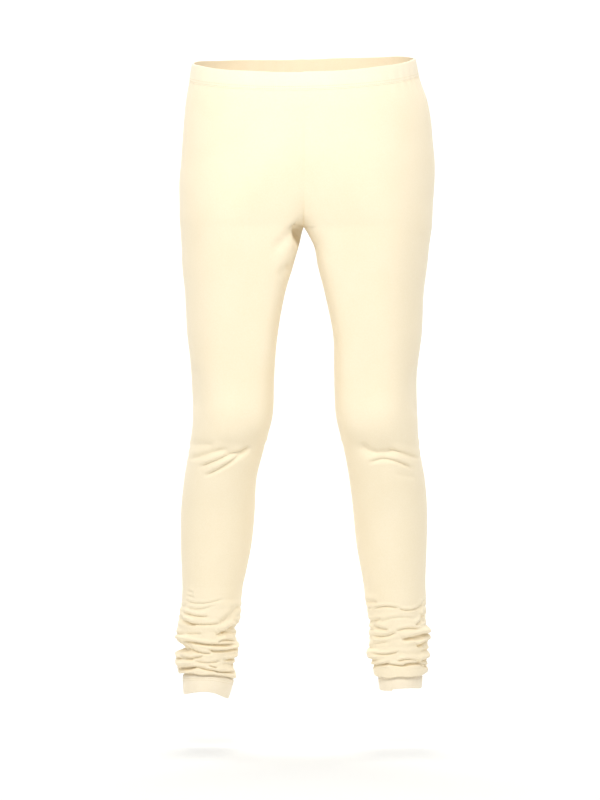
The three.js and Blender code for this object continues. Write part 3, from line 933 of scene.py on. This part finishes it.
# Cotton jersey: a fine single knit, dull and slightly hairy. Its colour varies softly over a hand's
# breadth and flecks over a couple of millimetres. The knit's V stitches are a wave up the columns whose
# start slants to both sides of each column; real ones are 0.8 mm wide, too fine to show here, so they
# are drawn twice as wide.
knit = {
    "column": 1.6,
    "course": 1.2,
    "slant": 0.5,
    "columnRelief": 1.2,    # a column's relief beside a stitch's
    "mottle": 45.0,
    "mottleShare": 0.45,    # beside the flecks'
    "fleck": 2.2,
    "shadeMost": 0.22,
    "fuzz": 0.7,
    "fuzzRelief": 0.8,
    "bump": 0.15,
    "roughness": 0.88,
    "sheen": 0.25,
}


def cottonJersey(name, base, shade, relief):
    material = bpy.data.materials.new(name)
    material.use_nodes = True
    tree = material.node_tree
    tree.nodes.clear()
    output = addNode(tree, "ShaderNodeOutputMaterial")
    shader = addNode(tree, "ShaderNodeBsdfPrincipled", Roughness=knit["roughness"], IOR=1.46)
    shader.inputs["Sheen Weight"].default_value = knit["sheen"]
    shader.inputs["Sheen Roughness"].default_value = 0.5
    tree.links.new(shader.outputs[0], output.inputs[0])

    place = addNode(tree, "ShaderNodeTexCoord").outputs["Object"]
    mottle = noiseNode(tree, place, knit["mottle"], 1.0)
    fleck = noiseNode(tree, place, knit["fleck"], 3.0)
    spread = mathNode(tree, "MULTIPLY_ADD", mottle, knit["mottleShare"], fleck)
    share = addNode(tree, "ShaderNodeMapRange", Value=spread, From_Min=0.5, From_Max=1.0,
                    To_Min=0.0, To_Max=knit["shadeMost"])
    mix = mixColors(tree, share.outputs[0], base, shade)
    tree.links.new(mix.outputs[2], shader.inputs["Base Color"])

    cloth = addNode(tree, "ShaderNodeUVMap", {"uv_map": "cloth"})
    axes = addNode(tree, "ShaderNodeSeparateXYZ", i0=cloth.outputs[0])
    column = mathNode(tree, "DIVIDE", axes.outputs[0], knit["column"] * mm)
    inColumn = mathNode(tree, "PINGPONG", column, 0.5)
    course = mathNode(tree, "DIVIDE", axes.outputs[1], knit["course"] * mm)
    slanted = mathNode(tree, "MULTIPLY_ADD", inColumn, 2 * knit["slant"], course)
    loop = mathNode(tree, "PINGPONG", slanted, 0.5)
    stitchHeight = mathNode(tree, "MULTIPLY_ADD", inColumn, knit["columnRelief"], loop)
    fuzz = noiseNode(tree, place, knit["fuzz"], 2.0)
    height = mathNode(tree, "MULTIPLY_ADD", fuzz, knit["fuzzRelief"], stitchHeight)
    bump = addNode(tree, "ShaderNodeBump", Strength=relief, Distance=knit["bump"] * mm, Height=height)
    tree.links.new(bump.outputs[0], shader.inputs["Normal"])
    return material


# Spun cotton thread: dull, close to the cloth's colour, with the twist's fine ridges.
thread = {"roughness": 0.7, "twist": 0.5, "shade": "#e2cfa3", "bump": 0.1}


def spunThread(name, base):
    material = bpy.data.materials.new(name)
    material.use_nodes = True
    tree = material.node_tree
    shader = tree.nodes["Principled BSDF"]
    shader.inputs["Roughness"].default_value = thread["roughness"]
    shader.inputs["IOR"].default_value = 1.5
    place = addNode(tree, "ShaderNodeTexCoord").outputs["Object"]
    twist = noiseNode(tree, place, thread["twist"], 1.0)
    mix = mixColors(tree, twist, base, thread["shade"])
    tree.links.new(mix.outputs[2], shader.inputs["Base Color"])
    bump = addNode(tree, "ShaderNodeBump", Strength=0.3, Distance=thread["bump"] * mm, Height=twist)
    tree.links.new(bump.outputs[0], shader.inputs["Normal"])
    return material


def makeCamera():
    data = bpy.data.cameras.new("view")
    data.lens = camera["lens"]
    data.sensor_width = 36
    data.clip_end = 50
    view = bpy.data.objects.new("view", data)
    view.location = (camera["across"], -camera["distance"], camera["height"])
    view.rotation_euler = (radians(90 - camera["tilt"]), 0, 0)
    bpy.context.collection.objects.link(view)
    bpy.context.scene.camera = view


def makeLight(name, place, aim, width, height, power):
    data = bpy.data.lights.new(name, "AREA")
    data.shape = "RECTANGLE"
    data.size = width
    data.size_y = height
    data.energy = power
    light = bpy.data.objects.new(name, data)
    light.location = place
    light.rotation_euler = (Vector(aim) - Vector(place)).to_track_quat("-Z", "Y").to_euler()
    bpy.context.collection.objects.link(light)


# A pale sweep, in metres: the floor's profile rises into the backdrop on a quarter circle.
sweepShape = {"floor": -1.0, "bend": 0.8, "front": -6.0, "back": 6.2, "top": 4.0, "halfWidth": 8}


def makeSweep():
    floor, bend, back = sweepShape["floor"], sweepShape["bend"], sweepShape["back"]
    turn = np.linspace(0, pi / 2, 25)
    y = np.concatenate(([sweepShape["front"]], back - bend + bend * np.sin(turn), [back]))
    z = np.concatenate(([floor], floor + bend - bend * np.cos(turn), [sweepShape["top"]]))
    x = np.linspace(-sweepShape["halfWidth"], sweepShape["halfWidth"], 3)
    points = np.stack(np.broadcast_arrays(x[None, :], y[:, None], z[:, None]), -1) / mm
    sweep = gridMesh("studio_sweep", points, points[..., :2], flip=True)
    material = bpy.data.materials.new("studio paper")
    material.use_nodes = True
    shader = material.node_tree.nodes["Principled BSDF"]
    shader.inputs["Base Color"].default_value = linearColor("#eaeae8")
    shader.inputs["Roughness"].default_value = 0.9
    sweep.data.materials.append(material)


makeCamera()
makeSweep()
makeLight("key", (-0.14, -1.37, 1.0), (0, 0, 0), 3.0, 0.5, 38)
makeLight("backdrop light", (0, 1.6, 3.4), (0, 5.6, -0.6), 6.0, 1.5, 330)
world = bpy.data.worlds.new("studio")
world.use_nodes = True
world.node_tree.nodes["Background"].inputs["Color"].default_value = linearColor("#ffffff")
world.node_tree.nodes["Background"].inputs["Strength"].default_value = 0.48
bpy.context.scene.world = world
bpy.context.scene.view_settings.view_transform = "Standard"
print("camera, lights and sweep are set")

jersey = cottonJersey("cotton jersey", "#f9ebce", "#ecd9ac", 0.35)
casingJersey = cottonJersey("doubled cotton jersey over elastic", "#f9ecd2", "#eedcb2", 0.3)
# The turned hem's jersey is lighter than the leg's: partly the doubled cloth, partly painted light that
# brightens the hem where the last roll shades it.
turnedJersey = cottonJersey("turned cotton jersey", "#fbeed6", "#eedcb2", 0.35)
cottonThread = spunThread("spun cotton thread", "#f6e9cd")
print("cotton materials are made")

makeWaistband()
print("waistband is made")
for leg in (leftLeg, rightLeg):
    makeLeg(leg)
    makeHem(leg)
    print(leg["name"], "and its hem are made")
